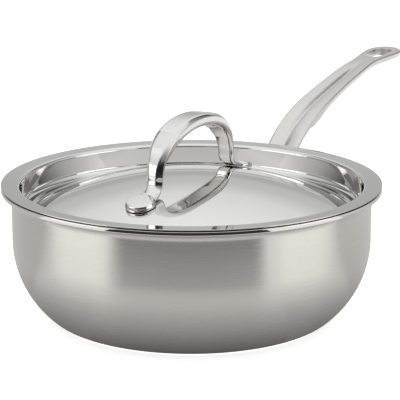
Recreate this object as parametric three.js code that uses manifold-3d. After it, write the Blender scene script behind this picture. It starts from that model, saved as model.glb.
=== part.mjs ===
// Round-sided covered pan: clad body with a flared rim, cast long handle, drop-in lid with a cast loop.
// Millimetres, +Z up. The origin is on the pan's axis, on the underside of its base, and the long handle
// runs out along +X. The lid sits on the rim and lifts straight up.
import * as THREE from "three";
import { mergeVertices } from "three/addons/utils/BufferGeometryUtils.js";
import Module from "manifold-3d";

const wasm = await Module();
wasm.setup();

// Pan body, measured on its outer surface
const RIM_RADIUS = 135;
const RIM_HEIGHT = 94.7;
const LIP_WIDTH = 7.25;
const STRAIGHT_BAND = 30; // height of the straight wall, from the round side up to the flare
const SIDE_ROUNDNESS = 1.25; // radius of the round side, as a share of the height where it ends
const BASE_CORNER_RADIUS = 12;

// Layers of the clad wall, from the outside in
const SKIN_THICKNESS = 0.6;
const CORE_THICKNESS = 1.8;
const LINER_THICKNESS = 0.5;
const BOND_GAP = 0.05;
const BEAD_SEAM_DEG = 5; // the rim bead stops this far short of its top, beside the inner layers

// Gap kept between pieces that rest on each other
const SEAT = 0.3;

// Long handle. Its points are [reach out from the wall, rise above the rim] along its raised edges
const HANDLE_REACH = 221.5;
const HANDLE_RISE = 48.5;
const HANDLE_SPINE = [
  [-12, -29],
  [15, 0.6],
  [48, 19],
  [95, 32.3],
  [158, 44.2],
  [HANDLE_REACH, HANDLE_RISE],
];
const EYE_WIDTH = 30.5;
const EYE_HOLE_LENGTH = 34;
const EYE_HOLE_WIDTH = 16;
const EYE_END_WALL = 10;
// Each list below is [reach, size], blended smoothly from one reach to the next
const HANDLE_WIDTH = [
  [-12, 28],
  [16, 26],
  [60, 27],
  [129, 24],
  [162, 21.5],
  [HANDLE_REACH - EYE_WIDTH / 2, EYE_WIDTH],
];
const HANDLE_SIDE = [
  [0, 9],
  [24, 6],
  [60, 5.5],
  [160, 5],
  [200, 5.2],
];
const HANDLE_GROOVE = [
  [-12, 2],
  [40, 3],
  [120, 3],
  [172, 0],
];
const HANDLE_BELLY = [
  [40, 0],
  [55, 12],
  [60, 12],
  [84, 4.5],
  [160, 3],
  [195, 0.5],
];
const GROOVE_EDGE = 0.72; // where the raised edge crests, as a share of the half width
const EDGE_DROP = 1.2; // how far the raised edge rounds down to the side
const UNDERSIDE_INSET = 1.5;

// Pad of the long handle on the wall, and its rivets
const PAD_THICKNESS = 5;
const PAD_MARGIN = 10.5; // pad radius round each rivet
const RIVET_SPREAD_DEG = 10;
const LOWER_RIVET_RISE = 2; // above the foot of the straight wall
const RIVET_PITCH = 16; // from the lower rivet up to the other two
const RIVET_HEAD_RADIUS = 5.5;
const RIVET_HEAD_HEIGHT = 1.6;
const RIVET_SHANK_RADIUS = 3;

// Lid. Depths and rises are measured from the top of its flange
const LID_THICKNESS = 1;
const LID_PLAY = 2.25; // free space between the lid's wall and the pan's
const LID_WELL = 19.5;
const LID_BEND_RADIUS = 2.5;
const LID_VALLEY_RADIUS = 5.5;
const DOME_RISE = 4.9;

// Loop on the lid
const LOOP_HEIGHT = 48.4; // crest above the flange
const LOOP_HALF_SPAN = 51;
const LOOP_SQUARENESS = 2.15; // exponent of the arch, 2 being an ellipse
const LOOP_LEG_WIDTH = 11;
const LOOP_TOP_WIDTH = 19.5;
const LOOP_LEG_THICKNESS = 5.5;
const LOOP_TOP_THICKNESS = 9.6;
const LOOP_FOOT_RADIUS = 5;
const LOOP_OUTER_ROUND = 3; // exponents of the strap's section, higher being flatter
const LOOP_INNER_ROUND = 4.5;
const LOOP_PAD_REACH = 69;
const LOOP_PAD_RADIUS = 10.5;
const LOOP_PAD_THICKNESS = 4;
const LOOP_PAD_ROUND = 1.5;

// Fineness of the facets. The shares are places across the handle, of its half width
const TURN_STEPS = 40;
const CORNER_STEPS = 3;
const SIDE_STEPS = 6;
const FLARE_STEPS = 3;
const BEAD_STEPS = 4;
const DOME_STEPS = 6;
const VALLEY_STEPS = 5;
const BEND_STEPS = 3;
const RIVET_TURN_STEPS = 16;
const RIVET_HEAD_STEPS = 3;
const PAD_TURN_STEPS = 24;
const HANDLE_STEPS = 28;
const TIP_STEPS_DEG = [20, 40, 58, 72, 82];
const ARCH_STEPS = 13;
const FOOT_STEPS = 4;
const STRAP_SIDES = 14;
const ROUND_STEPS = 8;
const WELD_DISTANCE = 1e-4;
const TOP_SHARES = [-1, -0.86, -GROOVE_EDGE, -GROOVE_EDGE / 2, 0, GROOVE_EDGE / 2, GROOVE_EDGE, 0.86, 1];
const BELLY_SHARES = [1, 0.7, 0.35, 0, -0.35, -0.7, -1];

// Sizes that follow from the ones above
const wallThickness = SKIN_THICKNESS + CORE_THICKNESS + LINER_THICKNESS + 2 * BOND_GAP;
const wallRadius = RIM_RADIUS - LIP_WIDTH;
const innerRadius = wallRadius - wallThickness;
const facetShare = Math.cos(Math.PI / TURN_STEPS); // a facet's middle against its corners
const beadRadius = wallThickness / 2;
const flareRadius = LIP_WIDTH - beadRadius;
const flareX = RIM_RADIUS - beadRadius;
const flareZ = RIM_HEIGHT - wallThickness - flareRadius;
const sideTop = flareZ - STRAIGHT_BAND;
const sideRadius = SIDE_ROUNDNESS * sideTop;
const sideX = wallRadius - sideRadius;
const cornerX =
  sideX + Math.sqrt((sideRadius - BASE_CORNER_RADIUS) ** 2 - (sideTop - BASE_CORNER_RADIUS) ** 2);
const cornerEndDeg = THREE.MathUtils.radToDeg(Math.atan2(BASE_CORNER_RADIUS - sideTop, cornerX - sideX));

const lidHeight = RIM_HEIGHT + SEAT + LID_THICKNESS;
const lidWallRadius = innerRadius - LID_PLAY - LID_THICKNESS;
const valleyX = lidWallRadius - LID_VALLEY_RADIUS;
const valleyZ = LID_VALLEY_RADIUS - LID_WELL;
const crownOverValley = DOME_RISE - valleyZ;
const domeRadius =
  (valleyX ** 2 + crownOverValley ** 2 - LID_VALLEY_RADIUS ** 2) /
  (2 * (crownOverValley + LID_VALLEY_RADIUS));
const domeZ = DOME_RISE - domeRadius;
const domeEdgeDeg = THREE.MathUtils.radToDeg(Math.atan2(valleyZ - domeZ, valleyX));

const rivetSpread = THREE.MathUtils.degToRad(RIVET_SPREAD_DEG);
const lowerRivetHeight = sideTop + LOWER_RIVET_RISE;
const rivetSpots = [
  { name: "handle_rivet_lower", angle: 0, height: lowerRivetHeight },
  { name: "handle_rivet_left", angle: rivetSpread, height: lowerRivetHeight + RIVET_PITCH },
  { name: "handle_rivet_right", angle: -rivetSpread, height: lowerRivetHeight + RIVET_PITCH },
];
const rivetInnerSeat = innerRadius * facetShare - SEAT;
const rivetOuterSeat = wallRadius + SEAT + PAD_THICKNESS + SEAT;

// Points on an arc, from one angle to the other
function arc(centreX, centreY, radius, startDeg, endDeg, steps) {
  return Array.from({ length: steps + 1 }, (_, i) => {
    const angle = THREE.MathUtils.degToRad(THREE.MathUtils.lerp(startDeg, endDeg, i / steps));
    return new THREE.Vector2(centreX + radius * Math.cos(angle), centreY + radius * Math.sin(angle));
  });
}

// Keeps only positions, with the vertices that meet made one
function welded(geometry) {
  geometry.deleteAttribute("normal");
  geometry.deleteAttribute("uv");
  return mergeVertices(geometry, WELD_DISTANCE);
}

// A profile of (radius, height) turned about +Z
function turned(profile, steps = TURN_STEPS) {
  return welded(new THREE.LatheGeometry(profile, steps).rotateX(Math.PI / 2));
}

function solidFrom(geometry) {
  return new wasm.Manifold(
    new wasm.Mesh({
      numProp: 3,
      vertProperties: geometry.attributes.position.array,
      triVerts: new Uint32Array(geometry.index.array),
    }),
  );
}

function geometryFrom(solid) {
  const mesh = solid.getMesh();
  const geometry = new THREE.BufferGeometry();
  geometry.setAttribute("position", new THREE.BufferAttribute(mesh.vertProperties, 3));
  geometry.setIndex(new THREE.BufferAttribute(mesh.triVerts, 1));
  geometry.computeVertexNormals();
  return geometry;
}

// A skin over rings of points that all hold the same count, closed at both ends
function lofted(rings) {
  const count = rings[0].length;
  const position = rings.flat().flatMap((point) => point.toArray());
  const index = [];
  for (let i = 0; i < rings.length - 1; i++) {
    for (let j = 0; j < count; j++) {
      const here = i * count + j;
      const next = i * count + ((j + 1) % count);
      index.push(here, next + count, next);
      index.push(here, here + count, next + count);
    }
  }
  [rings[0], rings[rings.length - 1]].forEach((ring, end) => {
    const first = end * (rings.length - 1) * count;
    const middle = position.length / 3;
    const centre = ring.reduce((sum, point) => sum.add(point), new THREE.Vector3()).divideScalar(count);
    position.push(...centre.toArray());
    for (let j = 0; j < count; j++) {
      const pair = [first + j, first + ((j + 1) % count)];
      index.push(middle, pair[end], pair[1 - end]);
    }
  });
  const geometry = new THREE.BufferGeometry();
  geometry.setAttribute("position", new THREE.Float32BufferAttribute(position, 3));
  geometry.setIndex(index);
  return geometry;
}

// The size at a reach, from a list of [reach, size]
function sizeAt(list, reach) {
  const after = list.findIndex(([at]) => at >= reach);
  if (after === 0) {
    return list[0][1];
  }
  if (after < 0) {
    return list[list.length - 1][1];
  }
  const [fromReach, fromSize] = list[after - 1];
  const [toReach, toSize] = list[after];
  return THREE.MathUtils.lerp(fromSize, toSize, THREE.MathUtils.smoothstep(reach, fromReach, toReach));
}

// The body's line from the middle of the base to the top of the straight wall, at a depth into the wall
function bowlLine(depth) {
  return [
    new THREE.Vector2(0, depth),
    ...arc(cornerX, BASE_CORNER_RADIUS, BASE_CORNER_RADIUS - depth, -90, cornerEndDeg, CORNER_STEPS),
    ...arc(sideX, sideTop, sideRadius - depth, cornerEndDeg, 0, SIDE_STEPS).slice(1),
  ];
}

// The line goes on through the flare to the lip
function flareLine(depth) {
  return arc(flareX, flareZ, flareRadius + depth, 180, 90, FLARE_STEPS);
}

// One layer of the wall, with its edge at the lip
function wallLayer(outerDepth, innerDepth, edge = []) {
  const out = [...bowlLine(outerDepth), ...flareLine(outerDepth)];
  const back = [...bowlLine(innerDepth), ...flareLine(innerDepth)].reverse();
  return solidFrom(turned([...out, ...edge, ...back]));
}

// The round bead that the outer skin makes over the edges of the inner layers
function beadEdge() {
  const round = arc(flareX, RIM_HEIGHT - beadRadius, beadRadius, -90, 90 - BEAD_SEAM_DEG, BEAD_STEPS);
  const seam = new THREE.Vector2(round[round.length - 1].x, RIM_HEIGHT - wallThickness + SKIN_THICKNESS);
  return [...round.slice(1), seam];
}

// Everything inside the body's outer surface, grown outwards by a distance
function bodyBulk(grown) {
  const top = [new THREE.Vector2(wallRadius + grown, RIM_HEIGHT), new THREE.Vector2(0, RIM_HEIGHT)];
  return solidFrom(turned([...bowlLine(-grown), ...top]));
}

// Rivet axis: local +Z runs outwards from the pan's axis
function rivetFrame(spot) {
  return new THREE.Matrix4()
    .makeTranslation(0, 0, spot.height)
    .multiply(new THREE.Matrix4().makeRotationZ(spot.angle))
    .multiply(new THREE.Matrix4().makeRotationY(Math.PI / 2));
}

// All rivet holes as one cutter, from inside the pan to beyond the pad
function rivetBores() {
  const radius = RIVET_SHANK_RADIUS + SEAT;
  const inner = rivetInnerSeat - RIVET_HEAD_HEIGHT;
  const outer = rivetOuterSeat + RIVET_HEAD_HEIGHT;
  const profile = [
    new THREE.Vector2(0, inner),
    new THREE.Vector2(radius, inner),
    new THREE.Vector2(radius, outer),
    new THREE.Vector2(0, outer),
  ];
  return rivetSpots
    .map((spot) => solidFrom(turned(profile, RIVET_TURN_STEPS).applyMatrix4(rivetFrame(spot))))
    .reduce((all, bore) => all.add(bore));
}

// A rivet from its inner head to its outer head
function rivetGeometry() {
  const capRadius = (RIVET_HEAD_RADIUS ** 2 + RIVET_HEAD_HEIGHT ** 2) / (2 * RIVET_HEAD_HEIGHT);
  const capDeg = THREE.MathUtils.radToDeg(Math.asin(RIVET_HEAD_RADIUS / capRadius));
  const innerCentre = rivetInnerSeat - RIVET_HEAD_HEIGHT + capRadius;
  const outerCentre = rivetOuterSeat + RIVET_HEAD_HEIGHT - capRadius;
  const profile = [
    ...arc(0, innerCentre, capRadius, -90, capDeg - 90, RIVET_HEAD_STEPS),
    new THREE.Vector2(RIVET_SHANK_RADIUS, rivetInnerSeat),
    new THREE.Vector2(RIVET_SHANK_RADIUS, rivetOuterSeat),
    ...arc(0, outerCentre, capRadius, 90 - capDeg, 90, RIVET_HEAD_STEPS),
  ];
  return turned(profile, RIVET_TURN_STEPS);
}

// The handle's outline across its length at one station: grooved top, flat sides, rounded belly
function handleRing(origin, tangent, reach, halfWidth) {
  const side = sizeAt(HANDLE_SIDE, reach);
  const groove = sizeAt(HANDLE_GROOVE, reach);
  const belly = sizeAt(HANDLE_BELLY, reach);
  const inset = Math.min(UNDERSIDE_INSET, halfWidth / 2);
  const up = new THREE.Vector3(-tangent.y, 0, tangent.x);
  const place = (across, height) =>
    new THREE.Vector3(origin.x, across, origin.y).addScaledVector(up, height);
  const top = TOP_SHARES.map((share) => {
    const past = Math.max(0, (Math.abs(share) - GROOVE_EDGE) / (1 - GROOVE_EDGE));
    const dip = Math.abs(share) < GROOVE_EDGE ? (1 + Math.cos((Math.PI * share) / GROOVE_EDGE)) / 2 : 0;
    return place(share * halfWidth, -groove * dip - EDGE_DROP * past ** 2);
  });
  const bottom = BELLY_SHARES.map((share) =>
    place(share * (halfWidth - inset), -side - belly * (1 - share ** 2)),
  );
  return [...top, ...bottom];
}

// Cast strap of the long handle, from inside the wall to the round tip
function handleStrap() {
  const spine = new THREE.SplineCurve(
    HANDLE_SPINE.map(([reach, rise]) => new THREE.Vector2(wallRadius + reach, RIM_HEIGHT + rise)),
  );
  const tipRadius = EYE_WIDTH / 2;
  const tipShare = tipRadius / spine.getLength();
  const stations = Array.from({ length: HANDLE_STEPS + 1 }, (_, i) => ({
    along: ((1 - tipShare) * i) / HANDLE_STEPS,
    narrowing: 1,
  }));
  TIP_STEPS_DEG.forEach((deg) => {
    const angle = THREE.MathUtils.degToRad(deg);
    stations.push({ along: 1 - tipShare * (1 - Math.sin(angle)), narrowing: Math.cos(angle) });
  });
  const rings = stations.map(({ along, narrowing }) => {
    const origin = spine.getPointAt(along);
    const reach = origin.x - wallRadius;
    const halfWidth = (sizeAt(HANDLE_WIDTH, reach) / 2) * narrowing;
    return handleRing(origin, spine.getTangentAt(along), reach, halfWidth);
  });
  return solidFrom(lofted(rings));
}

// Long hole with round ends through the handle's eye
function hangingHole() {
  const radius = EYE_HOLE_WIDTH / 2;
  const straight = EYE_HOLE_LENGTH / 2 - radius;
  const outline = new THREE.Shape();
  outline.absarc(straight, 0, radius, -Math.PI / 2, Math.PI / 2);
  outline.absarc(-straight, 0, radius, Math.PI / 2, (3 * Math.PI) / 2);
  const depth = HANDLE_RISE;
  const settings = { depth, bevelEnabled: false, curveSegments: ROUND_STEPS };
  const hole = new THREE.ExtrudeGeometry(outline, settings);
  const centre = wallRadius + HANDLE_REACH - EYE_END_WALL - EYE_HOLE_LENGTH / 2;
  return solidFrom(welded(hole.translate(centre, 0, RIM_HEIGHT + HANDLE_RISE - depth / 2)));
}

// Rounded three-cornered pad that follows the wall, with a corner round each rivet
function handlePad() {
  const corners = rivetSpots.map(
    ({ angle, height }) => new THREE.Vector2(wallRadius * Math.sin(angle), height),
  );
  const facing = corners.map((corner, i) => {
    const edge = corners[(i + 1) % corners.length].clone().sub(corner);
    return Math.atan2(-edge.x, edge.y);
  });
  const outline = new THREE.Shape();
  corners.forEach((corner, i) => {
    const start = facing[(i + corners.length - 1) % corners.length];
    const end = facing[i] < start ? facing[i] + 2 * Math.PI : facing[i];
    outline.absarc(corner.x, corner.y, PAD_MARGIN, start, end);
  });
  const depth = wallRadius + 2 * PAD_THICKNESS;
  const settings = { depth, bevelEnabled: false, curveSegments: ROUND_STEPS };
  const block = new THREE.ExtrudeGeometry(outline, settings);
  const outwards = new THREE.Matrix4().makeBasis(
    new THREE.Vector3(0, 1, 0),
    new THREE.Vector3(0, 0, 1),
    new THREE.Vector3(1, 0, 0),
  );
  return solidFrom(welded(block.applyMatrix4(outwards))).intersect(bodyBulk(SEAT + PAD_THICKNESS));
}

// The lid's line from its crown to the flange's edge, at a depth into the sheet
function lidLine(depth) {
  const bendX = lidWallRadius + LID_BEND_RADIUS;
  return [
    ...arc(0, domeZ, domeRadius - depth, 90, domeEdgeDeg, DOME_STEPS),
    ...arc(valleyX, valleyZ, LID_VALLEY_RADIUS + depth, domeEdgeDeg + 180, 360, VALLEY_STEPS).slice(1),
    ...arc(bendX, -LID_BEND_RADIUS, LID_BEND_RADIUS - depth, 180, 90, BEND_STEPS),
    new THREE.Vector2(RIM_RADIUS, -depth),
  ];
}

function lidShell() {
  return solidFrom(turned([...lidLine(LID_THICKNESS), ...lidLine(0).reverse()]));
}

// Everything under the dome's top, grown upwards by the seat gap
function domeBulk() {
  const top = arc(0, domeZ, domeRadius + SEAT, domeEdgeDeg, 90, DOME_STEPS);
  const below = [new THREE.Vector2(0, -2 * LID_WELL), new THREE.Vector2(top[0].x, -2 * LID_WELL)];
  return solidFrom(turned([...below, ...top]));
}

function domeTopAt(reach) {
  return domeZ + Math.sqrt(domeRadius ** 2 - reach ** 2);
}

// Half of the loop's middle line, from the pad up to the crest
function loopHalfLine() {
  const tiltDeg = THREE.MathUtils.radToDeg(Math.asin(LOOP_PAD_REACH / domeRadius));
  const footX = LOOP_HALF_SPAN + LOOP_FOOT_RADIUS;
  const footZ = domeTopAt(footX) + SEAT + LOOP_LEG_THICKNESS / 2 + LOOP_FOOT_RADIUS;
  const rise = LOOP_HEIGHT - LOOP_TOP_THICKNESS / 2 - footZ;
  const pad = new THREE.Vector2(LOOP_PAD_REACH, domeTopAt(LOOP_PAD_REACH) + SEAT + LOOP_PAD_THICKNESS / 2);
  const foot = arc(footX, footZ, LOOP_FOOT_RADIUS, 270 - tiltDeg, 180, FOOT_STEPS);
  const arch = Array.from({ length: ARCH_STEPS }, (_, i) => {
    const angle = ((i + 1) / ARCH_STEPS) * (Math.PI / 2);
    const x = LOOP_HALF_SPAN * Math.max(0, Math.cos(angle)) ** (2 / LOOP_SQUARENESS);
    return new THREE.Vector2(x, footZ + rise * Math.sin(angle) ** (2 / LOOP_SQUARENESS));
  });
  return { line: [pad, ...foot, ...arch], footZ, rise };
}

// The strap's outline across its length: a rounded outer face and a flatter inner one
function loopRing(point, tangent, width, thickness) {
  const outwards = new THREE.Vector3(tangent.y, 0, -tangent.x);
  return Array.from({ length: STRAP_SIDES }, (_, i) => {
    const angle = (2 * Math.PI * i) / STRAP_SIDES;
    const power = 2 / (Math.sin(angle) > 0 ? LOOP_OUTER_ROUND : LOOP_INNER_ROUND);
    const across = Math.sign(Math.cos(angle)) * Math.abs(Math.cos(angle)) ** power;
    const out = Math.sign(Math.sin(angle)) * Math.abs(Math.sin(angle)) ** power;
    const middle = new THREE.Vector3(point.x, (across * width) / 2, point.y);
    return middle.addScaledVector(outwards, (out * thickness) / 2);
  });
}

function loopStrap() {
  const { line, footZ, rise } = loopHalfLine();
  const mirrored = line.slice(0, -1).map((point) => new THREE.Vector2(-point.x, point.y));
  const whole = [...line, ...mirrored.reverse()];
  const rings = whole.map((point, i) => {
    const before = whole[Math.max(0, i - 1)];
    const after = whole[Math.min(whole.length - 1, i + 1)];
    const tangent = after.clone().sub(before).normalize();
    const share = THREE.MathUtils.smoothstep(point.y, footZ, footZ + rise);
    const width = THREE.MathUtils.lerp(LOOP_LEG_WIDTH, LOOP_TOP_WIDTH, share);
    const inPad = Math.abs(point.x) === LOOP_PAD_REACH;
    const thickness = inPad
      ? LOOP_PAD_THICKNESS / 2
      : THREE.MathUtils.lerp(LOOP_LEG_THICKNESS, LOOP_TOP_THICKNESS, share);
    return loopRing(point, tangent, width, thickness);
  });
  return solidFrom(lofted(rings));
}

// Round pad that stands square to the dome, on one side of the loop
function loopPad(side) {
  const sunk = -LOOP_PAD_THICKNESS;
  const height = SEAT + LOOP_PAD_THICKNESS;
  const profile = [
    new THREE.Vector2(0, sunk),
    new THREE.Vector2(LOOP_PAD_RADIUS, sunk),
    ...arc(LOOP_PAD_RADIUS - LOOP_PAD_ROUND, height - LOOP_PAD_ROUND, LOOP_PAD_ROUND, 0, 90, BEND_STEPS),
    new THREE.Vector2(0, height),
  ];
  const tilt = side * Math.asin(LOOP_PAD_REACH / domeRadius);
  const pad = turned(profile, PAD_TURN_STEPS).rotateY(tilt);
  return solidFrom(pad.translate(side * LOOP_PAD_REACH, 0, domeTopAt(LOOP_PAD_REACH)));
}

function piece(name, geometry, material) {
  const mesh = new THREE.Mesh(geometry, material);
  mesh.name = name;
  return mesh;
}

function metal(color, roughness) {
  return new THREE.MeshStandardMaterial({ color, roughness, metalness: 1 });
}

const brushedSteel = metal(0xb8b4ae, 0.38);
const polishedSteel = metal(0xd8d7d4, 0.08);
const satinSteel = metal(0xc4c3bf, 0.3);
const aluminium = metal(0xc9cacc, 0.5);

const bores = rivetBores();
const coreDepth = SKIN_THICKNESS + BOND_GAP;
const linerDepth = coreDepth + CORE_THICKNESS + BOND_GAP;
const skin = wallLayer(0, SKIN_THICKNESS, beadEdge()).subtract(bores);
const core = wallLayer(coreDepth, coreDepth + CORE_THICKNESS).subtract(bores);
const liner = wallLayer(linerDepth, wallThickness).subtract(bores);
const handle = handleStrap()
  .subtract(hangingHole())
  .add(handlePad())
  .subtract(bodyBulk(SEAT))
  .subtract(bores);
const loop = loopStrap().add(loopPad(1)).add(loopPad(-1)).subtract(domeBulk());

const pan = new THREE.Group();
pan.add(piece("pan_outer_skin", geometryFrom(skin), brushedSteel));
pan.add(piece("pan_core", geometryFrom(core), aluminium));
pan.add(piece("pan_inner_liner", geometryFrom(liner), satinSteel));
pan.add(piece("pan_handle", geometryFrom(handle), satinSteel));
rivetSpots.forEach((spot) => {
  const rivet = piece(spot.name, rivetGeometry(), polishedSteel);
  rivet.applyMatrix4(rivetFrame(spot));
  pan.add(rivet);
});

const lid = new THREE.Group();
lid.position.z = lidHeight;
lid.add(piece("lid_shell", geometryFrom(lidShell()), polishedSteel));
lid.add(piece("lid_loop", geometryFrom(loop), polishedSteel));

const coveredPan = new THREE.Group();
coveredPan.add(pan, lid);

export default coveredPan;
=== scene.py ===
"""Covered saute pan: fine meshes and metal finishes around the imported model, in a plain white studio."""
import math

import bmesh
import bpy
import numpy as np
from mathutils import Matrix, Vector


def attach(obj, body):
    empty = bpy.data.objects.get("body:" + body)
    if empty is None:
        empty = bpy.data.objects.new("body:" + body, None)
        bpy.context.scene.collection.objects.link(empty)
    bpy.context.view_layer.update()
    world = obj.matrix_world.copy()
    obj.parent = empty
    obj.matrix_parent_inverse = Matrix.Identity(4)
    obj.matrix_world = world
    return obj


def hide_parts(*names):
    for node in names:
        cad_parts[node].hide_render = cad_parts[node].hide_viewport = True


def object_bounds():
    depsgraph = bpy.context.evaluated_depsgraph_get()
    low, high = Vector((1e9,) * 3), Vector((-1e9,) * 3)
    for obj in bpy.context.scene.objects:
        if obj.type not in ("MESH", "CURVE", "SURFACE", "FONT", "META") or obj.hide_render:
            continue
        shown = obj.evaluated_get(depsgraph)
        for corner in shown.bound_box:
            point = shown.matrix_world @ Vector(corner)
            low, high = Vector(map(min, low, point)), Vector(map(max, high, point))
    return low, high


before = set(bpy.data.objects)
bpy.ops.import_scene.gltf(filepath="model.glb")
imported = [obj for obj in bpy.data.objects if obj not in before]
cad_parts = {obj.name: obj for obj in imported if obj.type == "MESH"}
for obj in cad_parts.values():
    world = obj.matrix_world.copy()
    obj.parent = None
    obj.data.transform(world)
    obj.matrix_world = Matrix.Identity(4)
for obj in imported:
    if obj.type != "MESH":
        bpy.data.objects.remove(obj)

cad_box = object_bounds()
MM = 0.001

# Sizes of the object, in millimetres, the same as in the solids
RIM_RADIUS = 135
RIM_HEIGHT = 94.7
LIP_WIDTH = 7.25
STRAIGHT_BAND = 30
SIDE_ROUNDNESS = 1.25
BASE_CORNER_RADIUS = 12
SKIN_THICKNESS = 0.6
CORE_THICKNESS = 1.8
LINER_THICKNESS = 0.5
BOND_GAP = 0.05
BEAD_SEAM_DEG = 5
SEAT = 0.3
HANDLE_REACH = 221.5
HANDLE_RISE = 48.5
HANDLE_SPINE = [(-12, -29), (15, 0.6), (48, 19), (95, 32.3), (158, 44.2), (HANDLE_REACH, HANDLE_RISE)]
EYE_WIDTH = 30.5
EYE_HOLE_LENGTH = 34
EYE_HOLE_WIDTH = 16
EYE_END_WALL = 10
HANDLE_WIDTH = [
    (-12, 28), (16, 26), (60, 27), (129, 24), (162, 21.5), (HANDLE_REACH - EYE_WIDTH / 2, EYE_WIDTH),
]
HANDLE_SIDE = [(0, 9), (24, 6), (60, 5.5), (160, 5), (200, 5.2)]
HANDLE_GROOVE = [(-12, 2), (40, 3), (120, 3), (172, 0)]
HANDLE_BELLY = [(40, 0), (55, 12), (60, 12), (84, 4.5), (160, 3), (195, 0.5)]
EDGE_DROP = 1.2
UNDERSIDE_INSET = 1.5
PAD_THICKNESS = 5
PAD_MARGIN = 10.5
RIVET_SPREAD_DEG = 10
LOWER_RIVET_RISE = 2
RIVET_PITCH = 16
RIVET_HEAD_RADIUS = 5.5
RIVET_HEAD_HEIGHT = 1.6
RIVET_SHANK_RADIUS = 3
LID_THICKNESS = 1
LID_PLAY = 2.25
LID_WELL = 19.5
LID_BEND_RADIUS = 2.5
LID_VALLEY_RADIUS = 5.5
DOME_RISE = 4.9
LOOP_HEIGHT = 48.4
LOOP_HALF_SPAN = 51
LOOP_SQUARENESS = 2.15
LOOP_LEG_WIDTH = 11
LOOP_TOP_WIDTH = 19.5
LOOP_LEG_THICKNESS = 5.5
LOOP_TOP_THICKNESS = 9.6
LOOP_PAD_REACH = 69
LOOP_PAD_RADIUS = 10.5
LOOP_PAD_THICKNESS = 4
TURN_STEPS = 40

# Sizes that follow
wall = SKIN_THICKNESS + CORE_THICKNESS + LINER_THICKNESS + 2 * BOND_GAP
wall_radius = RIM_RADIUS - LIP_WIDTH
inner_radius = wall_radius - wall
bead_radius = wall / 2
flare_radius = LIP_WIDTH - bead_radius
flare_x = RIM_RADIUS - bead_radius
flare_z = RIM_HEIGHT - wall - flare_radius
side_top = flare_z - STRAIGHT_BAND
side_radius = SIDE_ROUNDNESS * side_top
side_x = wall_radius - side_radius
corner_reach = side_radius - BASE_CORNER_RADIUS
corner_x = side_x + math.sqrt(corner_reach ** 2 - (side_top - BASE_CORNER_RADIUS) ** 2)
corner_end = math.degrees(math.atan2(BASE_CORNER_RADIUS - side_top, corner_x - side_x))
lid_height = RIM_HEIGHT + SEAT + LID_THICKNESS
lid_wall_radius = inner_radius - LID_PLAY - LID_THICKNESS
valley_x = lid_wall_radius - LID_VALLEY_RADIUS
valley_z = LID_VALLEY_RADIUS - LID_WELL
crown = DOME_RISE - valley_z
dome_radius = (valley_x ** 2 + crown ** 2 - LID_VALLEY_RADIUS ** 2) / (2 * (crown + LID_VALLEY_RADIUS))
dome_z = DOME_RISE - dome_radius
dome_edge = math.degrees(math.atan2(valley_z - dome_z, valley_x))
lower_rivet = side_top + LOWER_RIVET_RISE
rivet_spots = {
    "handle_rivet_lower": (0, lower_rivet),
    "handle_rivet_left": (RIVET_SPREAD_DEG, lower_rivet + RIVET_PITCH),
    "handle_rivet_right": (-RIVET_SPREAD_DEG, lower_rivet + RIVET_PITCH),
}
rivet_inner = inner_radius * math.cos(math.pi / TURN_STEPS) - SEAT
rivet_outer = wall_radius + SEAT + PAD_THICKNESS + SEAT

# Fine forms of the surface, in millimetres
FLANGE_LEAN = 0.7
FLANGE_EDGE = 0.2
FLANGE_UNDER = 0.6
BEAD_CORNER = 0.7
RIVET_HEAD_EDGE = 0.2
HANDLE_EDGE = 1.5
LOOP_BLEND = 0.3
LOOP_BEVEL_LIFT = 0.15
LOOP_FOOT_SWEEP = 8.5
LOOP_LEG_FULLNESS = 1.6
LOOP_NECK = 1.6
LOOP_FOOT_THICKNESS = 3.4
LOOP_RUN_OUT = 6
LOOP_RUN_IN = 8
LOOP_PAD_FOOT = 0.4
LOOP_PAD_UPRIGHT = 1.4
LOOP_PAD_CROWN = 0.25
# The bends up a pad's side: radius, first and last angle in degrees
LOOP_PAD_BENDS = [(1, 0, 15), (11, 15, 24), (1.2, 24, 90)]

# Reach of the shapes that cut or are cut, in millimetres
HOLE_CUT = 24
PAD_START = 100
BULK_OVER = 1
BEAD_MARGIN = 0.01

# Shares of a size, and powers of a curve
CORNER_SHARE = 0.6
GROOVE_EDGE = 0.85
GROOVE_SOFTNESS = 0.05
GROOVE_POWER = 1.35
GROOVE_LINE = 0.17
GROOVE_LINE_SHARE = 0.45
GROOVE_GAIN = 0.9
LOOP_LEG_BEVEL = 0.55
LOOP_LEG_FALL = 0.55
LOOP_CREST_BEVEL = 0.3
LOOP_CREST_FALL = 0.25
LOOP_OUTER_POWER = 0.4
LOOP_INNER_POWER = 0.6
LOOP_WIDENING_POWER = 1.4
LOOP_NECK_SPAN = (0.65, 1.7)
LOOP_THICKENING_SPAN = (0.6, 1.6)

# Fineness of the meshes: counts, steps in millimetres, and the limits of what is smooth or too small
TURNS = 288
PAD_TURNS = 96
RIVET_TURNS = 48
BORE_TURNS = 32
SPINE_STEPS = 1200
HANDLE_STATIONS = 161
TIP_STATIONS = 24
TIP_ANGLES = (3, 86)
TOP_POINTS = 81
BELLY_POINTS = 25
STRAP_POINTS = 96
STRAP_STEP = 3
LINE_STEP = 0.25
LINE_REACH = 12
LINE_SPREAD = 5.0
TINY = 1e-6
SLIVER = 0.01 * MM
SHARP_DEG = 40
CARVED_SHARP_DEG = 35


def arc(x, z, radius, start, end, steps):
    """Points on an arc from one angle to the other, in degrees."""
    angles = np.radians(np.linspace(start, end, steps + 1))
    return [(x + radius * math.cos(a), z + radius * math.sin(a)) for a in angles]


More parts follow.
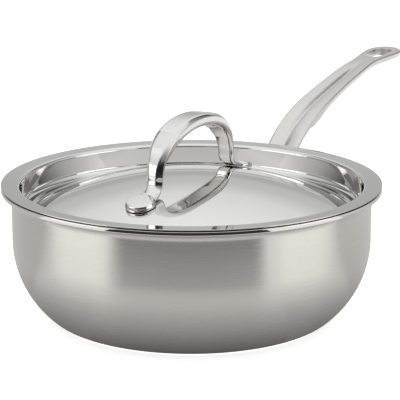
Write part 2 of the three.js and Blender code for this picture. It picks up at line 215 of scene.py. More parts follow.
def mesh_object(name, verts, faces):
    """A smooth-shaded object from points in millimetres."""
    mesh = bpy.data.meshes.new(name)
    mesh.from_pydata([tuple(c * MM for c in v) for v in verts], [], faces)
    mesh.shade_smooth()
    mesh.set_sharp_from_angle(angle=math.radians(SHARP_DEG))
    obj = bpy.data.objects.new(name, mesh)
    bpy.context.scene.collection.objects.link(obj)
    return obj


def lathe_data(profile, turns):
    """Points and faces of a line of (radius, height), from axis to axis, turned about +Z."""
    verts, rings, faces = [], [], []
    angles = [2 * math.pi * k / turns for k in range(turns)]
    for r, z in profile:
        if r < TINY:
            rings.append([len(verts)])
            verts.append((0, 0, z))
            continue
        rings.append(list(range(len(verts), len(verts) + turns)))
        verts.extend((r * math.cos(a), r * math.sin(a), z) for a in angles)
    for low, high in zip(rings, rings[1:]):
        for k in range(turns):
            n = (k + 1) % turns
            quad = [low[k % len(low)], low[n % len(low)], high[n % len(high)], high[k % len(high)]]
            face = list(dict.fromkeys(quad))
            if len(face) > 2:
                faces.append(face)
    return verts, faces


def lathe(name, profile, turns=TURNS):
    """An object turned from a profile."""
    return mesh_object(name, *lathe_data(profile, turns))


def loft_data(rings):
    """A skin over rings of equal count, closed at both ends by a fan."""
    count = len(rings[0])
    verts = [tuple(p) for ring in rings for p in ring]
    faces = []
    for i in range(len(rings) - 1):
        for j in range(count):
            here, after = i * count + j, i * count + (j + 1) % count
            faces.append((here, after, after + count, here + count))
    for first, flip in ((0, False), ((len(rings) - 1) * count, True)):
        middle = len(verts)
        verts.append(tuple(np.mean(verts[first:first + count], axis=0)))
        for j in range(count):
            pair = (first + j, first + (j + 1) % count)
            faces.append((middle, pair[0], pair[1]) if flip else (middle, pair[1], pair[0]))
    return verts, faces


def face_outwards(obj):
    """Turns the faces of a closed shape to its outside."""
    bm = bmesh.new()
    bm.from_mesh(obj.data)
    bmesh.ops.recalc_face_normals(bm, faces=bm.faces)
    bm.to_mesh(obj.data)
    bm.free()


def shade(obj):
    """Smooth shading that keeps the edges that carving leaves."""
    obj.data.shade_smooth()
    obj.data.set_sharp_from_angle(angle=math.radians(CARVED_SHARP_DEG))


def apply_modifiers(obj):
    """Puts the result of an object's modifiers into its mesh."""
    depsgraph = bpy.context.evaluated_depsgraph_get()
    mesh = bpy.data.meshes.new_from_object(obj.evaluated_get(depsgraph))
    old = obj.data
    obj.modifiers.clear()
    obj.data = mesh
    bpy.data.meshes.remove(old)


def carve(obj, cutter, operation):
    """Joins, cuts or crosses an object with another, which is then deleted, and takes out slivers."""
    modifier = obj.modifiers.new("carve", "BOOLEAN")
    modifier.operation = operation
    modifier.object = cutter
    modifier.solver = "EXACT"
    apply_modifiers(obj)
    bpy.data.objects.remove(cutter)
    bm = bmesh.new()
    bm.from_mesh(obj.data)
    bmesh.ops.remove_doubles(bm, verts=bm.verts, dist=SLIVER)
    bmesh.ops.dissolve_degenerate(bm, dist=SLIVER, edges=bm.edges)
    bm.to_mesh(obj.data)
    bm.free()


def smoothstep(x, low, high):
    """0 below a range, 1 above it, and a soft rise between."""
    t = min(1, max(0, (x - low) / (high - low)))
    return t * t * (3 - 2 * t)


def size_at(table, reach):
    """The size at a reach, blended smoothly along a list of (reach, size)."""
    if reach <= table[0][0]:
        return table[0][1]
    for (r0, s0), (r1, s1) in zip(table, table[1:]):
        if reach <= r1:
            return s0 + (s1 - s0) * smoothstep(reach, r0, r1)
    return table[-1][1]


# Pan body

def bowl_line(depth):
    """The wall's section from the axis to the flare, at a depth below the outer surface."""
    straight = [(wall_radius - depth, z) for z in np.linspace(side_top, flare_z, 13)[1:-1]]
    return [
        (0, depth),
        *[(r, depth) for r in np.linspace(0, corner_x, 9)[1:-1]],
        *arc(corner_x, BASE_CORNER_RADIUS, BASE_CORNER_RADIUS - depth, -90, corner_end, 10),
        *arc(side_x, side_top, side_radius - depth, corner_end, 0, 36)[1:],
        *straight,
    ]


def flare_line(depth):
    """The flare's section at a depth below the outer surface."""
    return arc(flare_x, flare_z, flare_radius + depth, 180, 90, 16)


def wall_layer(name, outer_depth, inner_depth, edge=()):
    """A layer of the wall between two depths, with an edge of its own at the rim."""
    out = [*bowl_line(outer_depth), *flare_line(outer_depth)]
    back = [*bowl_line(inner_depth), *flare_line(inner_depth)][::-1]
    return lathe(name, [*out, *edge, *back])


def bead_edge():
    """The rim's edge: an upright face with rounded corners, and the seam where the skin ends on top."""
    x = RIM_RADIUS - BEAD_CORNER
    low, high = RIM_HEIGHT - wall + BEAD_CORNER, RIM_HEIGHT - BEAD_CORNER
    seam = flare_x + bead_radius * math.sin(math.radians(BEAD_SEAM_DEG))
    return [
        *arc(x, low, BEAD_CORNER, -90, 0, 8),
        *arc(x, high, BEAD_CORNER, 0, 90, 8),
        (seam, RIM_HEIGHT),
        (seam, RIM_HEIGHT - wall + SKIN_THICKNESS),
    ]


def bulk(name, grown):
    """Everything inside the body's outer surface, grown by a distance."""
    top = RIM_HEIGHT + BULK_OVER
    return lathe(name, [*bowl_line(-grown), (wall_radius + grown, top), (0, top)])


def rivet_matrix(angle_deg, height):
    """The place of a rivet's axis, out through the wall."""
    return (
        Matrix.Translation((0, 0, height * MM))
        @ Matrix.Rotation(math.radians(angle_deg), 4, "Z")
        @ Matrix.Rotation(math.pi / 2, 4, "Y")
    )


def rivet_bores():
    """The rivet holes as one cutter."""
    radius = RIVET_SHANK_RADIUS + SEAT
    low, high = rivet_inner - RIVET_HEAD_HEIGHT, rivet_outer + RIVET_HEAD_HEIGHT
    verts, faces = [], []
    for angle, height in rivet_spots.values():
        part, part_faces = lathe_data([(0, low), (radius, low), (radius, high), (0, high)], BORE_TURNS)
        place = rivet_matrix(angle, height)
        faces.extend([tuple(i + len(verts) for i in face) for face in part_faces])
        verts.extend([tuple((place @ (Vector(v) * MM)) / MM) for v in part])
    return mesh_object("rivet_bores", verts, faces)


def rivet(name, angle, height):
    """A shank with a domed head inside the pan and another on the pad."""
    cap = (RIVET_HEAD_RADIUS ** 2 + RIVET_HEAD_HEIGHT ** 2) / (2 * RIVET_HEAD_HEIGHT)
    half = math.degrees(math.asin(RIVET_HEAD_RADIUS / cap))
    inner_centre = rivet_inner - RIVET_HEAD_HEIGHT + cap
    outer_centre = rivet_outer + RIVET_HEAD_HEIGHT - cap
    obj = lathe(name, [
        *arc(0, inner_centre, cap, -90, half - 90, 12),
        (RIVET_HEAD_RADIUS - RIVET_HEAD_EDGE, rivet_inner),
        (RIVET_SHANK_RADIUS, rivet_inner),
        (RIVET_SHANK_RADIUS, rivet_outer),
        (RIVET_HEAD_RADIUS - RIVET_HEAD_EDGE, rivet_outer),
        *arc(0, outer_centre, cap, 90 - half, 90, 12),
    ], RIVET_TURNS)
    obj.data.transform(rivet_matrix(angle, height))
    return obj


# Long handle

def spine_point(share):
    """A point of the smooth line through the handle's points, at a share of its count."""
    points = [np.array((wall_radius + reach, RIM_HEIGHT + rise)) for reach, rise in HANDLE_SPINE]
    place = (len(points) - 1) * share
    i = min(int(place), len(points) - 2)
    t = place - i
    p0, p1 = points[max(0, i - 1)], points[i]
    p2, p3 = points[i + 1], points[min(len(points) - 1, i + 2)]
    v0, v1 = (p2 - p0) / 2, (p3 - p1) / 2
    cubic, square = 2 * p1 - 2 * p2 + v0 + v1, -3 * p1 + 3 * p2 - 2 * v0 - v1
    return cubic * t ** 3 + square * t ** 2 + v0 * t + p1


def rounded(ring, corners, radius):
    """A closed ring of (across, height) points, some of whose corners are cut back to a small curve."""
    out = []
    for i, here in enumerate(ring):
        if i not in corners:
            out.append(here)
            continue
        here = np.array(here)
        before, after = (np.array(ring[j % len(ring)]) - here for j in (i - 1, i + 1))
        start, end = (
            here + way * min(CORNER_SHARE, radius / max(TINY, np.linalg.norm(way)))
            for way in (before, after)
        )
        for t in np.linspace(0, 1, 6):
            out.append(start * (1 - t) ** 2 + here * 2 * t * (1 - t) + end * t * t)
    return out


def groove_dip(share):
    """How far the handle's top dips at a share of its half width: a groove with a finer line in it."""
    reach = 1 + GROOVE_SOFTNESS
    dip = max(0, reach - math.hypot(reach * share / GROOVE_EDGE, GROOVE_SOFTNESS)) ** GROOVE_POWER
    line = math.exp(-(share / GROOVE_LINE) ** 2)
    return (1 - GROOVE_LINE_SHARE) * dip + GROOVE_LINE_SHARE * line


def handle_strap(name):
    """The handle before its eye is pierced and its pad is joined, as rings along its spine."""
    shares = np.linspace(0, 1, SPINE_STEPS + 1)
    dense = np.array([spine_point(s) for s in shares])
    along = np.concatenate([[0], np.cumsum(np.linalg.norm(np.diff(dense, axis=0), axis=1))])
    tip = EYE_WIDTH / 2
    stations = [(s, 1) for s in np.linspace(0, along[-1] - tip, HANDLE_STATIONS)]
    for a in np.radians(np.linspace(*TIP_ANGLES, TIP_STATIONS)):
        stations.append((along[-1] - tip * (1 - math.sin(a)), math.cos(a)))
    top = np.linspace(-1, 1, TOP_POINTS)
    belly = np.linspace(1, -1, BELLY_POINTS)
    rings = []
    for s, narrowing in stations:
        i = min(len(dense) - 2, max(0, int(np.searchsorted(along, s)) - 1))
        t = (s - along[i]) / (along[i + 1] - along[i])
        x, z = dense[i] * (1 - t) + dense[i + 1] * t
        tx, tz = dense[i + 1] - dense[i]
        up = np.array((-tz, 0, tx)) / math.hypot(tx, tz)
        reach = x - wall_radius
        half = size_at(HANDLE_WIDTH, reach) / 2 * narrowing
        side, sag = size_at(HANDLE_SIDE, reach), size_at(HANDLE_BELLY, reach)
        groove = size_at(HANDLE_GROOVE, reach) * GROOVE_GAIN
        inset = min(UNDERSIDE_INSET, half / 2)
        ring = []
        for share in top:
            past = max(0, (abs(share) - GROOVE_EDGE) / (1 - GROOVE_EDGE))
            ring.append((share * half, -groove * groove_dip(share) - EDGE_DROP * past ** 2))
        for share in belly:
            ring.append((share * (half - inset), -side - sag * (1 - share ** 2)))
        corners = (len(top) - 1, len(top), len(top) + len(belly) - 1, 0)
        ring = rounded(ring, corners, min(HANDLE_EDGE, half / 4))
        rings.append([np.array((x, across, z)) + up * h for across, h in ring])
    obj = mesh_object(name, *loft_data(rings))
    face_outwards(obj)
    return obj


def prism(name, outline, low, high, place):
    """An outline of points pushed from one depth to another, each point placed by a function."""
    count = len(outline)
    verts = [place(a, b, low) for a, b in outline] + [place(a, b, high) for a, b in outline]
    faces = [tuple(range(count))[::-1], tuple(range(count, 2 * count))]
    faces += [(i, (i + 1) % count, count + (i + 1) % count, count + i) for i in range(count)]
    obj = mesh_object(name, verts, faces)
    face_outwards(obj)
    return obj


def hanging_hole():
    """The eye's opening as a cutter."""
    radius = EYE_HOLE_WIDTH / 2
    straight = EYE_HOLE_LENGTH / 2 - radius
    outline = [*arc(straight, 0, radius, -90, 90, 32), *arc(-straight, 0, radius, 90, 270, 32)]
    centre = wall_radius + HANDLE_REACH - EYE_END_WALL - EYE_HOLE_LENGTH / 2
    middle = RIM_HEIGHT + HANDLE_RISE
    low, high = middle - HOLE_CUT, middle + HOLE_CUT
    return prism("hole", outline, low, high, lambda a, b, c: (centre + a, b, c))


def wall_pad():
    """Rounded three-cornered block round the rivets."""
    corners = [(wall_radius * math.sin(math.radians(a)), h) for a, h in rivet_spots.values()]
    facing = []
    for i, corner in enumerate(corners):
        after = corners[(i + 1) % len(corners)]
        facing.append(math.degrees(math.atan2(-(after[0] - corner[0]), after[1] - corner[1])))
    outline = []
    for i, corner in enumerate(corners):
        start, end = facing[i - 1], facing[i]
        end += 360 if end < start else 0
        outline += arc(*corner, PAD_MARGIN, start, end, 20)
    high = wall_radius + 2 * PAD_THICKNESS
    return prism("pad", outline, PAD_START, high, lambda a, b, c: (c, a, b))


def keep_inside(obj):
    """Holds a shape inside the upper bounds of the solids."""
    for vertex in obj.data.vertices:
        vertex.co = [min(c, limit) for c, limit in zip(vertex.co, cad_box[1])]


def long_handle(name):
    """The whole casting: strap, eye, and the pad on the wall with its rivet holes."""
    obj = handle_strap(name)
    carve(obj, hanging_hole(), "DIFFERENCE")
    pad = wall_pad()
    carve(pad, bulk("bulk", SEAT + PAD_THICKNESS), "INTERSECT")
    carve(obj, pad, "UNION")
    carve(obj, bulk("bulk", SEAT), "DIFFERENCE")
    carve(obj, rivet_bores(), "DIFFERENCE")
    keep_inside(obj)
    shade(obj)
    return obj


# Lid

def lid_line(depth):
    """The lid's section at a depth below its top face. The flange leans in a little, and its edge is
    cut back a little above and more below."""
    lean = math.degrees(math.atan(FLANGE_LEAN / (RIM_RADIUS - lid_wall_radius)))
    drop = FLANGE_LEAN / 2
    bend_x = lid_wall_radius + LID_BEND_RADIUS
    bend = arc(bend_x, -LID_BEND_RADIUS - drop, LID_BEND_RADIUS - depth, 180, 90 + lean, 14)
    edge_z = bend[-1][1] + (RIM_RADIUS - bend[-1][0]) * math.tan(math.radians(lean))
    round_off, way = (FLANGE_UNDER, 1) if depth else (FLANGE_EDGE, -1)
    edge = [(RIM_RADIUS - round_off, edge_z), (RIM_RADIUS, edge_z + way * round_off)]
    return [
        *arc(0, dome_z, dome_radius - depth, 90, dome_edge, 48),
        *arc(valley_x, valley_z, LID_VALLEY_RADIUS + depth, dome_edge + 180, 360, 28)[1:],
        *bend,
        *[tuple(p) for p in np.linspace(bend[-1], edge[0], 9)[1:-1]],
        *edge,
    ]


def lid_shell(name):
    """The pressing between its top face and its underside."""
    obj = lathe(name, [*lid_line(LID_THICKNESS), *lid_line(0)[::-1]])
    obj.data.transform(Matrix.Translation((0, 0, lid_height * MM)))
    return obj


def dome_top(reach):
    """The dome's height at a distance from the axis."""
    return dome_z + math.sqrt(dome_radius ** 2 - reach ** 2)


def pad_place():
    """The tilt of the loop's pad on the dome, and the (reach, height) of its middle."""
    tilt = math.asin(LOOP_PAD_REACH / dome_radius)
    lift = SEAT + LOOP_PAD_THICKNESS / 2
    height = dome_top(LOOP_PAD_REACH) + lift * math.cos(tilt)
    return tilt, np.array((LOOP_PAD_REACH + lift * math.sin(tilt), height))


def loop_half():
    """Half of the loop's middle line, from the pad's tip to the crest: its points, how far each is from
    the pad's middle, and the foot's height and the rise above it."""
    tilt, pad = pad_place()
    outwards = np.array((math.cos(tilt), -math.sin(tilt)))
    foot_x = LOOP_HALF_SPAN + LOOP_FOOT_SWEEP
    foot_z = dome_top(foot_x) + SEAT + LOOP_LEG_THICKNESS / 2 + LOOP_FOOT_SWEEP
    rise = LOOP_HEIGHT - LOOP_TOP_THICKNESS / 2 - foot_z
    line = [pad + outwards * d for d in np.linspace(LOOP_PAD_RADIUS + LOOP_RUN_OUT, -LOOP_RUN_IN, 40)]
    line += arc(foot_x, foot_z, LOOP_FOOT_SWEEP, 270 - math.degrees(tilt), 180, 24)
    for a in np.linspace(0, math.pi / 2, 400)[1:]:
        line.append((
            LOOP_HALF_SPAN * max(0, math.cos(a)) ** (2 / LOOP_SQUARENESS),
            foot_z + rise * math.sin(a) ** (2 / LOOP_SQUARENESS),
        ))
    line = np.array(line)
    along = np.concatenate([[0], np.cumsum(np.linalg.norm(np.diff(line, axis=0), axis=1))])
    even = np.arange(0, along[-1], LINE_STEP)
    x, z = np.interp(even, along, line[:, 0]), np.interp(even, along, line[:, 1])
    n = LINE_REACH
    weights = np.exp(-0.5 * (np.arange(-n, n + 1) / LINE_SPREAD) ** 2)
    weights /= weights.sum()
    mirrored_x = np.concatenate([2 * x[0] - x[n:0:-1], x, -x[-2:-n - 2:-1]])
    mirrored_z = np.concatenate([2 * z[0] - z[n:0:-1], z, z[-2:-n - 2:-1]])
    x = np.convolve(mirrored_x, weights, "valid")
    z = np.convolve(mirrored_z, weights, "valid")
    middle = int(np.argmin(np.hypot(x - pad[0], z - pad[1])))
    return np.stack([x, z], 1), even - even[middle], foot_z, rise


def strap_ring(point, out, half, thick, share):
    """The strap's outline across its length. Its outer face has a bevel on each side, smaller
    towards the crest."""
    bevel = half * (LOOP_LEG_BEVEL + (LOOP_CREST_BEVEL - LOOP_LEG_BEVEL) * share)
    fall = thick * (LOOP_LEG_FALL + (LOOP_CREST_FALL - LOOP_LEG_FALL) * share)
    ring = []
    for a in np.linspace(0, 2 * math.pi, STRAP_POINTS, endpoint=False):
        power = LOOP_OUTER_POWER if math.sin(a) > 0 else LOOP_INNER_POWER
        across = math.copysign(abs(math.cos(a)) ** power, math.cos(a)) * half
        h = math.copysign(abs(math.sin(a)) ** power, math.sin(a)) * thick / 2
        slope = thick / 2 + LOOP_BEVEL_LIFT - fall * (abs(across) - half + bevel) / bevel
        h = -LOOP_BLEND * math.log(math.exp(-h / LOOP_BLEND) + math.exp(-slope / LOOP_BLEND))
        ring.append(np.array((point[0] + out[0] * h, across, point[1] + out[1] * h)))
    return ring


def loop_strap(name):
    """The arch from pad to pad."""
    line, along, foot_z, rise = loop_half()
    tangent = np.gradient(line, axis=0)
    tangent /= np.linalg.norm(tangent, axis=1)[:, None]
    leg_width = LOOP_LEG_WIDTH + LOOP_LEG_FULLNESS
    neck = [LOOP_PAD_RADIUS * end for end in LOOP_NECK_SPAN]
    thickening = [LOOP_PAD_RADIUS * end for end in LOOP_THICKENING_SPAN]
    rings = []
    for i in range(int(np.argmin(np.abs(along))), len(line), STRAP_STEP):
        point, (tx, tz) = line[i], tangent[i]
        share = smoothstep(point[1], foot_z, foot_z + rise)
        half = (leg_width + (LOOP_TOP_WIDTH - leg_width) * share ** LOOP_WIDENING_POWER) / 2
        half += LOOP_NECK * (1 - smoothstep(along[i], *neck))
        thick = LOOP_FOOT_THICKNESS
        thick += (LOOP_LEG_THICKNESS - LOOP_FOOT_THICKNESS) * smoothstep(along[i], *thickening)
        thick += (LOOP_TOP_THICKNESS - LOOP_LEG_THICKNESS) * share
        rings.append(strap_ring(point, (tz, -tx), half, thick, share))
    mirrored = [[np.array((-x, y, z)) for x, y, z in ring] for ring in rings[::-1]]
    obj = mesh_object(name, *loft_data(rings + mirrored[1:]))
    face_outwards(obj)
    return obj


def loop_pad(side):
    """A round pad that lies on the dome."""
    t, r, low = LOOP_PAD_THICKNESS, LOOP_PAD_RADIUS, LOOP_PAD_FOOT
    profile = [(0, -t / 2), *arc(r - low, low - t / 2, low, -90, 0, 6)]
    x, z = r, LOOP_PAD_UPRIGHT - t / 2
    profile.append((x, z))
    for bend, first, last in LOOP_PAD_BENDS:
        turn = math.radians(first)
        curve = arc(x - bend * math.cos(turn), z - bend * math.sin(turn), bend, first, last, 8)
        profile += curve[1:]
        x, z = curve[-1]
    profile += [(u, z + LOOP_PAD_CROWN * (1 - (u / x) ** 2)) for u in np.linspace(x, 0, 12)[1:-1]]
    profile.append((0, z + LOOP_PAD_CROWN))
    obj = lathe("pad", profile, PAD_TURNS)
    tilt, (reach, height) = pad_place()
    place = Matrix.Translation(Vector((side * reach, 0, height)) * MM)
    obj.data.transform(place @ Matrix.Rotation(side * tilt, 4, "Y"))
    return obj


def lid_loop(name):
    """The strap and its two pads as one casting."""
    obj = loop_strap(name)
    for side in (-1, 1):
        carve(obj, loop_pad(side), "UNION")
    shade(obj)
    obj.data.transform(Matrix.Translation((0, 0, lid_height * MM)))
    keep_inside(obj)
    return obj


# Metal finishes

NOISE_LOW, NOISE_HIGH = 0.3, 0.7
MIX_DARK, MIX_LIGHT, MIX_RESULT = 6, 7, 2
BUMP_DISTANCE = 0.0001
RING_STRETCH = (0.012, 0.012, 1)
EVEN = (1, 1, 1)
BRUSH_SCALE = 2200
BRUSH_SPREAD = 0.02
WIPE_SCALE = 14
WIPE_SHADE = 0.97
GRAIN_SCALE = 1500
GRAIN_SPREAD = 0.06
PATCH_SCALE = 45


def finish_material(name, color, roughness, anisotropic=0.0):
    """A bare metal: its node tree and shader, ready for detail."""
    material = bpy.data.materials.new(name)
    material.use_nodes = True
    tree = material.node_tree
    shader = tree.nodes["Principled BSDF"]
    shader.inputs["Base Color"].default_value = (*color, 1)
    shader.inputs["Metallic"].default_value = 1
    shader.inputs["Roughness"].default_value = roughness
    shader.inputs["Anisotropic"].default_value = anisotropic
    return material, tree, shader


def add(tree, kind, **values):
    """A node with its settings, and its inputs by name."""
    node = tree.nodes.new(kind)
    for key, value in values.items():
        if hasattr(node, key):
            setattr(node, key, value)
        else:
            node.inputs[key.replace("_", " ")].default_value = value
    return node


def grain(tree, scale, detail, stretch):
    """Noise in the object's own space, stretched by a scale on each axis."""
    place = add(tree, "ShaderNodeTexCoord")
    mapping = add(tree, "ShaderNodeMapping", Scale=stretch)
    noise = add(tree, "ShaderNodeTexNoise", Scale=scale, Detail=detail, Roughness=0.62)
    tree.links.new(place.outputs["Object"], mapping.inputs["Vector"])
    tree.links.new(mapping.outputs["Vector"], noise.inputs["Vector"])
    return noise.outputs["Fac"]


def spread(tree, value, low, high):
    """Takes a noise from its usual range to another."""
    node = add(
        tree, "ShaderNodeMapRange", From_Min=NOISE_LOW, From_Max=NOISE_HIGH, To_Min=low, To_Max=high,
    )
    tree.links.new(value, node.inputs["Value"])
    return node.outputs["Result"]


def tint(tree, value, dark, light):
    """A colour between two by a noise."""
    node = add(tree, "ShaderNodeMix", data_type="RGBA")
    node.inputs[MIX_DARK].default_value = (*dark, 1)
    node.inputs[MIX_LIGHT].default_value = (*light, 1)
    tree.links.new(value, node.inputs["Factor"])
    return node.outputs[MIX_RESULT]


def bump(tree, shader, value, strength):
    """Fine relief from a noise."""
    node = add(tree, "ShaderNodeBump", Strength=strength, Distance=BUMP_DISTANCE)
    tree.links.new(value, node.inputs["Height"])
    tree.links.new(node.outputs["Normal"], shader.inputs["Normal"])


def turned_grain(tree, scale, detail):
    """Noise that runs in rings about +Z: fine along the height and the radius, long round the axis."""
    place = add(tree, "ShaderNodeTexCoord")
    split = add(tree, "ShaderNodeSeparateXYZ")
    tree.links.new(place.outputs["Object"], split.inputs[0])
    flat = add(tree, "ShaderNodeCombineXYZ")
    tree.links.new(split.outputs["X"], flat.inputs["X"])
    tree.links.new(split.outputs["Y"], flat.inputs["Y"])
    radius = add(tree, "ShaderNodeVectorMath", operation="LENGTH")
    tree.links.new(flat.outputs[0], radius.inputs[0])
    mapping = add(tree, "ShaderNodeMapping", Scale=RING_STRETCH)
    tree.links.new(place.outputs["Object"], mapping.inputs["Vector"])
    noise = add(
        tree, "ShaderNodeTexNoise", noise_dimensions="4D", Scale=scale, Detail=detail, Roughness=0.7,
    )
    tree.links.new(mapping.outputs["Vector"], noise.inputs["Vector"])
    tree.links.new(radius.outputs["Value"], noise.inputs["W"])
    return noise.outputs["Fac"]


def brushed(name, dark, light, roughness, depth, anisotropic):
    """Steel brushed round the axis: highlights stretch across the brush lines."""
    material, tree, shader = finish_material(name, light, roughness, anisotropic)
    shader.inputs["Anisotropic Rotation"].default_value = 0.25
    tangent = add(tree, "ShaderNodeTangent", direction_type="RADIAL", axis="Z")
    tree.links.new(tangent.outputs[0], shader.inputs["Tangent"])
    lines = turned_grain(tree, BRUSH_SCALE, 4)
    tree.links.new(tint(tree, spread(tree, lines, 0, 1), dark, light), shader.inputs["Base Color"])
    rough = spread(tree, lines, roughness - BRUSH_SPREAD, roughness + BRUSH_SPREAD)
    tree.links.new(rough, shader.inputs["Roughness"])
    bump(tree, shader, lines, depth)
    return material


def polished(name, color, roughness, wear):
    """Mirror-polished steel with faint wipe marks."""
    material, tree, shader = finish_material(name, color, roughness)
    marks = grain(tree, WIPE_SCALE, 4, EVEN)
    tree.links.new(spread(tree, marks, roughness - wear, roughness + wear), shader.inputs["Roughness"])
    dark = tuple(c * WIPE_SHADE for c in color)
    tree.links.new(tint(tree, spread(tree, marks, 0, 1), dark, color), shader.inputs["Base Color"])
    return material


def satin(name, dark, light, roughness, depth, stretch):
    """Blasted or drawn metal with a fine even grain."""
    material, tree, shader = finish_material(name, light, roughness)
    fine = grain(tree, GRAIN_SCALE, 3, stretch)
    broad = grain(tree, PATCH_SCALE, 3, EVEN)
    tree.links.new(tint(tree, spread(tree, broad, 0, 1), dark, light), shader.inputs["Base Color"])
    rough = spread(tree, fine, roughness - GRAIN_SPREAD, roughness + GRAIN_SPREAD)
    tree.links.new(rough, shader.inputs["Roughness"])
    bump(tree, shader, fine, depth)
    return material


brushed_steel = brushed("brushed_steel", (0.61, 0.6, 0.56), (0.64, 0.63, 0.59), 0.26, 0.01, 0.95)
bead_steel = polished("bead_steel", (0.7, 0.69, 0.67), 0.06, 0.02)
liner_steel = brushed("liner_steel", (0.6, 0.59, 0.57), (0.68, 0.67, 0.65), 0.3, 0.06, 0.7)
core_metal = satin("core_metal", (0.74, 0.75, 0.76), (0.8, 0.81, 0.82), 0.45, 0.15, (1, 1, 0.05))
lid_steel = polished("lid_steel", (0.725, 0.722, 0.705), 0.045, 0.02)
loop_steel = polished("loop_steel", (0.725, 0.722, 0.705), 0.05, 0.02)
handle_steel = satin(
    "handle_steel", (0.66, 0.655, 0.635), (0.69, 0.685, 0.665), 0.32, 0.015, (0.3, 1, 1),
)
rivet_steel = satin("rivet_steel", (0.66, 0.65, 0.64), (0.72, 0.71, 0.7), 0.22, 0.05, EVEN)


def dress(obj, node, body, slot, *materials):
    """Gives a piece its finish and puts it in the place of its node."""
    for material in materials:
        obj.data.materials.append(material)
    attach(obj, body)
    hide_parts(node)


# Pieces

core_depth = SKIN_THICKNESS + BOND_GAP
liner_depth = core_depth + CORE_THICKNESS + BOND_GAP
skin = wall_layer("outer_skin", 0, SKIN_THICKNESS, bead_edge())
core = wall_layer("wall_core", core_depth, core_depth + CORE_THICKNESS)
liner = wall_layer("inner_liner", liner_depth, wall)
for layer in (skin, core, liner):
    carve(layer, rivet_bores(), "DIFFERENCE")
dress(skin, "pan_outer_skin", "pan", "brushed_body", brushed_steel, bead_steel)
for face in skin.data.polygons:
    low = min(skin.data.vertices[v].co.z for v in face.vertices)
    face.material_index = 1 if low > (RIM_HEIGHT - wall - BEAD_MARGIN) * MM else 0
dress(core, "pan_core", "pan", "aluminium_core", core_metal)
dress(liner, "pan_inner_liner", "pan", "satin_liner", liner_steel)
dress(long_handle("long_handle"), "pan_handle", "pan", "cast_handle", handle_steel)
for spot, (angle, height) in rivet_spots.items():
    dress(rivet(spot.replace("handle_", ""), angle, height), spot, "pan", "rivet_steel", rivet_steel)
dress(lid_shell("lid_pressing"), "lid_shell", "lid", "polished_lid", lid_steel)
dress(lid_loop("lid_handle"), "lid_loop", "lid", "polished_loop", loop_steel)

# Studio, in metres

scene = bpy.context.scene
scene.view_settings.view_transform = "Standard"

CAMERA_DISTANCE = 1.2
CAMERA_ELEVATION = math.radians(13.618)
CAMERA_TURN = math.radians(60)
# Focal length and aim, in pixels of a square picture, and the sensor, in millimetres
IMAGE_SIZE = 400
FOCAL = 1687.4 / IMAGE_SIZE
AIM_X, AIM_Y = 191.66, 180.22
SENSOR = 36
# Floor, sheets and lamps
FLOOR_SIZE = 40
FLOOR_DROP = 0.0003
FLOOR_GLOW = 0.7
WORLD_LIGHT = 0.45
TENT_RADIUS = 1.7
SHEET_LIFT = 0.0006
SHEET_STEP_DEG = 3
LAMP_AIM_HEIGHT = 0.05

target = Vector((0, 0, lid_height * MM))
level = Vector((math.sin(CAMERA_TURN), math.cos(CAMERA_TURN), 0))
right = Vector((math.cos(CAMERA_TURN), -math.sin(CAMERA_TURN), 0))
forward = level * math.cos(CAMERA_ELEVATION) - Vector((0, 0, math.sin(CAMERA_ELEVATION)))
up = right.cross(forward)
camera_data = bpy.data.cameras.new("camera")
camera_data.sensor_width = SENSOR
camera_data.lens = SENSOR * FOCAL
camera = bpy.data.objects.new("camera", camera_data)
scene.collection.objects.link(camera)
camera.location = target - forward * CAMERA_DISTANCE
aside, above = ((IMAGE_SIZE / 2 - aim) / IMAGE_SIZE / FOCAL for aim in (AIM_X, AIM_Y))
look = forward + right * aside - up * above
camera.rotation_euler = look.to_track_quat("-Z", "Y").to_euler()
scene.camera = camera


def lay_floor(material):
    """The flat floor under the pan."""
    half = FLOOR_SIZE / 2
    corners = [(-half, -half, 0), (half, -half, 0), (half, half, 0), (-half, half, 0)]
    mesh = bpy.data.meshes.new("floor")
    mesh.from_pydata(corners, [], [(0, 1, 2, 3)])
    mesh.materials.append(material)
    obj = bpy.data.objects.new("floor", mesh)
    scene.collection.objects.link(obj)
    obj.location.z = -FLOOR_DROP


def glow(tree, value, factor):
    """A glow of a set level times a factor."""
    node = add(tree, "ShaderNodeEmission")
    times = add(tree, "ShaderNodeMath", operation="MULTIPLY")
    times.inputs[1].default_value = value
    tree.links.new(factor, times.inputs[0])
    tree.links.new(times.outputs[0], node.inputs["Strength"])
    return node.outputs[0]


def seen_directly(tree):
    """1 for what the camera sees, directly or in metal or glass, else 0."""
    path = add(tree, "ShaderNodeLightPath")
    total = None
    for kind in ("Is Camera Ray", "Is Glossy Ray", "Is Transmission Ray"):
        if total is None:
            total = path.outputs[kind]
            continue
        both = add(tree, "ShaderNodeMath", operation="MAXIMUM")
        tree.links.new(total, both.inputs[0])
        tree.links.new(path.outputs[kind], both.inputs[1])
        total = both.outputs[0]
    return total


floor_material = bpy.data.materials.new("floor_white")
floor_material.use_nodes = True
tree = floor_material.node_tree
tree.nodes.clear()
paper = add(tree, "ShaderNodeBsdfDiffuse", Color=(0.95, 0.95, 0.95, 1))
together = add(tree, "ShaderNodeAddShader")
tree.links.new(paper.outputs[0], together.inputs[0])
tree.links.new(glow(tree, FLOOR_GLOW, seen_directly(tree)), together.inputs[1])
tree.links.new(together.outputs[0], add(tree, "ShaderNodeOutputMaterial").inputs["Surface"])
lay_floor(floor_material)

world = bpy.data.worlds.new("studio")
scene.world = world
world.use_nodes = True
tree = world.node_tree
background = tree.nodes["Background"]
background.inputs["Color"].default_value = (1, 1, 1, 1)
strength = add(tree, "ShaderNodeMapRange", To_Min=WORLD_LIGHT, To_Max=1.0)
tree.links.new(seen_directly(tree), strength.inputs["Value"])
tree.links.new(strength.outputs["Result"], background.inputs["Strength"])


